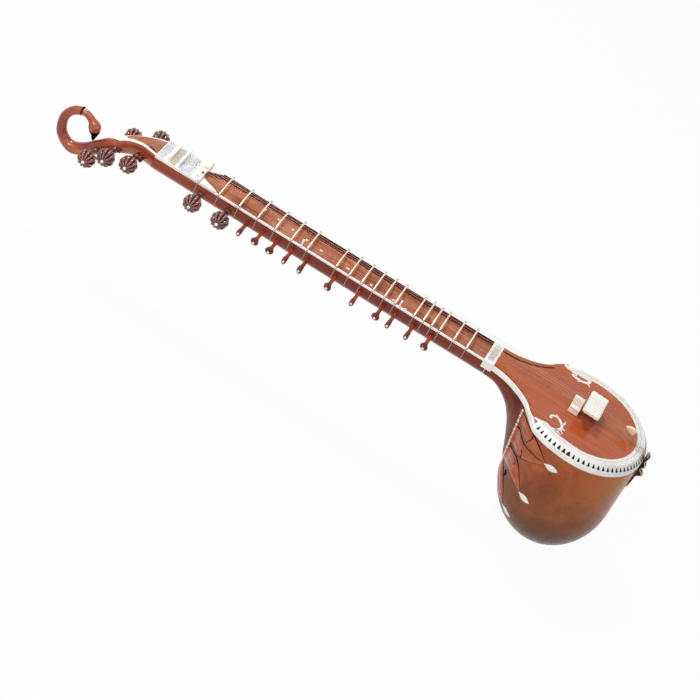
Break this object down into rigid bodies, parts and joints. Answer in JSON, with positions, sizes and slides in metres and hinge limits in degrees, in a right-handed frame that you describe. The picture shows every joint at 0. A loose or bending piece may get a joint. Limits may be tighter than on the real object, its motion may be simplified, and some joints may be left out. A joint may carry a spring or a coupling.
{
  "type": "sitar",
  "caption": "Sitar with a deep gourd body, a long hollow neck, movable arched frets, ball pegs and small side pegs, bone bridges and a swan-neck head.",
  "frame": {"origin": "the lowest point of the gourd, on the middle plane of the instrument", "axes": "+X along the strings from the head to the tail, +Y towards the side without small pegs, +Z out of the neck's playing face"},
  "size_m": [1.3226, 0.286, 0.3198],
  "materials": {
    "bone": "polished bone",
    "red_wood": "red-brown varnish",
    "board_wood": "orange-brown varnish",
    "fretboard_wood": "satin varnish",
    "gourd_shell": "varnished gourd",
    "dark_wood": "dark polish",
    "brass": "bright",
    "steel": "bright"
  },
  "bodies": {
    "instrument": {"binding_ring": "bone", "gourd": "gourd_shell", "neck_heel": "red_wood", "soundboard": "board_wood", "junction_plate": "bone", "fretboard": "fretboard_wood", "neck_edging_near": "bone", "neck_edging_far": "dark_wood", "nut_plate": "bone", "nut": "bone", "string_guide": "bone", "swan_head": "red_wood", "head": "red_wood", "neck": "red_wood", "bridge_plate": "bone", "bridge_legs": "red_wood", "small_bridge": "bone", "tailpiece": "dark_wood", "main_strings": "steel", "drone_post_1": "bone", "drone_post_2": "bone", "sympathetic_strings": "brass"},
    "main_peg_1": {"main_peg_1": "dark_wood"},
    "main_peg_2": {"main_peg_2": "dark_wood"},
    "main_peg_3": {"main_peg_3": "dark_wood"},
    "main_peg_4": {"main_peg_4": "dark_wood"},
    "main_peg_5": {"main_peg_5": "dark_wood"},
    "main_peg_6": {"main_peg_6": "dark_wood"},
    "main_peg_7": {"main_peg_7": "dark_wood"},
    "small_peg_01": {"small_peg_01": "dark_wood"},
    "small_peg_02": {"small_peg_02": "dark_wood"},
    "small_peg_03": {"small_peg_03": "dark_wood"},
    "small_peg_04": {"small_peg_04": "dark_wood"},
    "small_peg_05": {"small_peg_05": "dark_wood"},
    "small_peg_06": {"small_peg_06": "dark_wood"},
    "small_peg_07": {"small_peg_07": "dark_wood"},
    "small_peg_08": {"small_peg_08": "dark_wood"},
    "small_peg_09": {"small_peg_09": "dark_wood"},
    "small_peg_10": {"small_peg_10": "dark_wood"},
    "small_peg_11": {"small_peg_11": "dark_wood"},
    "fret_01": {"fret_01": "brass"},
    "fret_02": {"fret_02": "brass"},
    "fret_03": {"fret_03": "brass"},
    "fret_04": {"fret_04": "brass"},
    "fret_05": {"fret_05": "brass"},
    "fret_06": {"fret_06": "brass"},
    "fret_07": {"fret_07": "brass"},
    "fret_08": {"fret_08": "brass"},
    "fret_09": {"fret_09": "brass"},
    "fret_10": {"fret_10": "brass"},
    "fret_11": {"fret_11": "brass"},
    "fret_12": {"fret_12": "brass"},
    "fret_13": {"fret_13": "brass"},
    "fret_14": {"fret_14": "brass"},
    "fret_15": {"fret_15": "brass"},
    "fret_16": {"fret_16": "brass"},
    "fret_17": {"fret_17": "brass"},
    "fret_18": {"fret_18": "brass"},
    "fret_19": {"fret_19": "brass"},
    "tuning_bead": {"tuning_bead": "bone"}
  },
  "joints": [
    {"name": "main_peg_1_turn", "type": "hinge", "parent": "instrument", "child": "main_peg_1", "pos_m": [-1.0045, 0, 0.26535], "axis": [0, 1, 0], "continuous": true},
    {"name": "main_peg_2_turn", "type": "hinge", "parent": "instrument", "child": "main_peg_2", "pos_m": [-1.016, 0, 0.26315], "axis": [0, -1, 0], "continuous": true},
    {"name": "main_peg_3_turn", "type": "hinge", "parent": "instrument", "child": "main_peg_3", "pos_m": [-1.052, 0, 0.24695], "axis": [0, 1, 0], "continuous": true},
    {"name": "main_peg_4_turn", "type": "hinge", "parent": "instrument", "child": "main_peg_4", "pos_m": [-1.063, 0, 0.24188], "axis": [0, -1, 0], "continuous": true},
    {"name": "main_peg_5_turn", "type": "hinge", "parent": "instrument", "child": "main_peg_5", "pos_m": [-1.096, 0, 0.21586], "axis": [0, -1, 0], "continuous": true},
    {"name": "main_peg_6_turn", "type": "hinge", "parent": "instrument", "child": "main_peg_6", "pos_m": [-0.87105, 0, 0.27168], "axis": [0, -1, 0], "continuous": true},
    {"name": "main_peg_7_turn", "type": "hinge", "parent": "instrument", "child": "main_peg_7", "pos_m": [-0.80903, 0, 0.27168], "axis": [0, -1, 0], "continuous": true},
    {"name": "small_peg_01_turn", "type": "hinge", "parent": "instrument", "child": "small_peg_01", "pos_m": [-0.76499, 0, 0.27438], "axis": [0, -1, 0], "continuous": true},
    {"name": "small_peg_02_turn", "type": "hinge", "parent": "instrument", "child": "small_peg_02", "pos_m": [-0.73104, 0, 0.27438], "axis": [0, -1, 0], "continuous": true},
    {"name": "small_peg_03_turn", "type": "hinge", "parent": "instrument", "child": "small_peg_03", "pos_m": [-0.69801, 0, 0.27438], "axis": [0, -1, 0], "continuous": true},
    {"name": "small_peg_04_turn", "type": "hinge", "parent": "instrument", "child": "small_peg_04", "pos_m": [-0.66406, 0, 0.27438], "axis": [0, -1, 0], "continuous": true},
    {"name": "small_peg_05_turn", "type": "hinge", "parent": "instrument", "child": "small_peg_05", "pos_m": [-0.63002, 0, 0.27438], "axis": [0, -1, 0], "continuous": true},
    {"name": "small_peg_06_turn", "type": "hinge", "parent": "instrument", "child": "small_peg_06", "pos_m": [-0.568, 0, 0.27438], "axis": [0, -1, 0], "continuous": true},
    {"name": "small_peg_07_turn", "type": "hinge", "parent": "instrument", "child": "small_peg_07", "pos_m": [-0.51295, 0, 0.27438], "axis": [0, -1, 0], "continuous": true},
    {"name": "small_peg_08_turn", "type": "hinge", "parent": "instrument", "child": "small_peg_08", "pos_m": [-0.46102, 0, 0.27438], "axis": [0, -1, 0], "continuous": true},
    {"name": "small_peg_09_turn", "type": "hinge", "parent": "instrument", "child": "small_peg_09", "pos_m": [-0.43304, 0, 0.27438], "axis": [0, -1, 0], "continuous": true},
    {"name": "small_peg_10_turn", "type": "hinge", "parent": "instrument", "child": "small_peg_10", "pos_m": [-0.39193, 0, 0.27438], "axis": [0, -1, 0], "continuous": true},
    {"name": "small_peg_11_turn", "type": "hinge", "parent": "instrument", "child": "small_peg_11", "pos_m": [-0.35303, 0, 0.27438], "axis": [0, -1, 0], "continuous": true},
    {"name": "fret_01_slide", "type": "slide", "parent": "instrument", "child": "fret_01", "axis": [1, 0, 0], "range_m": [-0.02, 0.007]},
    {"name": "fret_02_slide", "type": "slide", "parent": "instrument", "child": "fret_02", "axis": [1, 0, 0], "range_m": [-0.006, 0.0195]},
    {"name": "fret_03_slide", "type": "slide", "parent": "instrument", "child": "fret_03", "axis": [1, 0, 0], "range_m": [-0.008, 0.0185]},
    {"name": "fret_04_slide", "type": "slide", "parent": "instrument", "child": "fret_04", "axis": [1, 0, 0], "range_m": [-0.0075, 0.016]},
    {"name": "fret_05_slide", "type": "slide", "parent": "instrument", "child": "fret_05", "axis": [1, 0, 0], "range_m": [-0.013, 0.0095]},
    {"name": "fret_06_slide", "type": "slide", "parent": "instrument", "child": "fret_06", "axis": [1, 0, 0], "range_m": [-0.016, 0.0065]},
    {"name": "fret_07_slide", "type": "slide", "parent": "instrument", "child": "fret_07", "axis": [1, 0, 0], "range_m": [-0.0085, 0.005]},
    {"name": "fret_08_slide", "type": "slide", "parent": "instrument", "child": "fret_08", "axis": [1, 0, 0], "range_m": [-0.02, 0.0025]},
    {"name": "fret_09_slide", "type": "slide", "parent": "instrument", "child": "fret_09", "axis": [1, 0, 0], "range_m": [-0.012, 0.0115]},
    {"name": "fret_10_slide", "type": "slide", "parent": "instrument", "child": "fret_10", "axis": [1, 0, 0], "range_m": [-0.0115, 0.0004]},
    {"name": "fret_11_slide", "type": "slide", "parent": "instrument", "child": "fret_11", "axis": [1, 0, 0], "range_m": [-0.0105, 0.01]},
    {"name": "fret_12_slide", "type": "slide", "parent": "instrument", "child": "fret_12", "axis": [1, 0, 0], "range_m": [-0.01, 0.001]},
    {"name": "fret_13_slide", "type": "slide", "parent": "instrument", "child": "fret_13", "axis": [1, 0, 0], "range_m": [-0.009, 0.0045]},
    {"name": "fret_14_slide", "type": "slide", "parent": "instrument", "child": "fret_14", "axis": [1, 0, 0], "range_m": [-0.019, 0.0035]},
    {"name": "fret_15_slide", "type": "slide", "parent": "instrument", "child": "fret_15", "axis": [1, 0, 0], "range_m": [-0.006, 0.007]},
    {"name": "fret_16_slide", "type": "slide", "parent": "instrument", "child": "fret_16", "axis": [1, 0, 0], "range_m": [-0.007, 0.004]},
    {"name": "fret_17_slide", "type": "slide", "parent": "instrument", "child": "fret_17", "axis": [1, 0, 0], "range_m": [-0.003, 0.0135]},
    {"name": "fret_18_slide", "type": "slide", "parent": "instrument", "child": "fret_18", "axis": [1, 0, 0], "range_m": [-0.0135, 0.012]},
    {"name": "fret_19_slide", "type": "slide", "parent": "instrument", "child": "fret_19", "axis": [1, 0, 0], "range_m": [-0.012, 0.012]},
    {"name": "tuning_bead_slide", "type": "slide", "parent": "instrument", "child": "tuning_bead", "axis": [0.9564, -0.0651, -0.2849], "range_m": [-0.02, 0.012]}
  ]
}
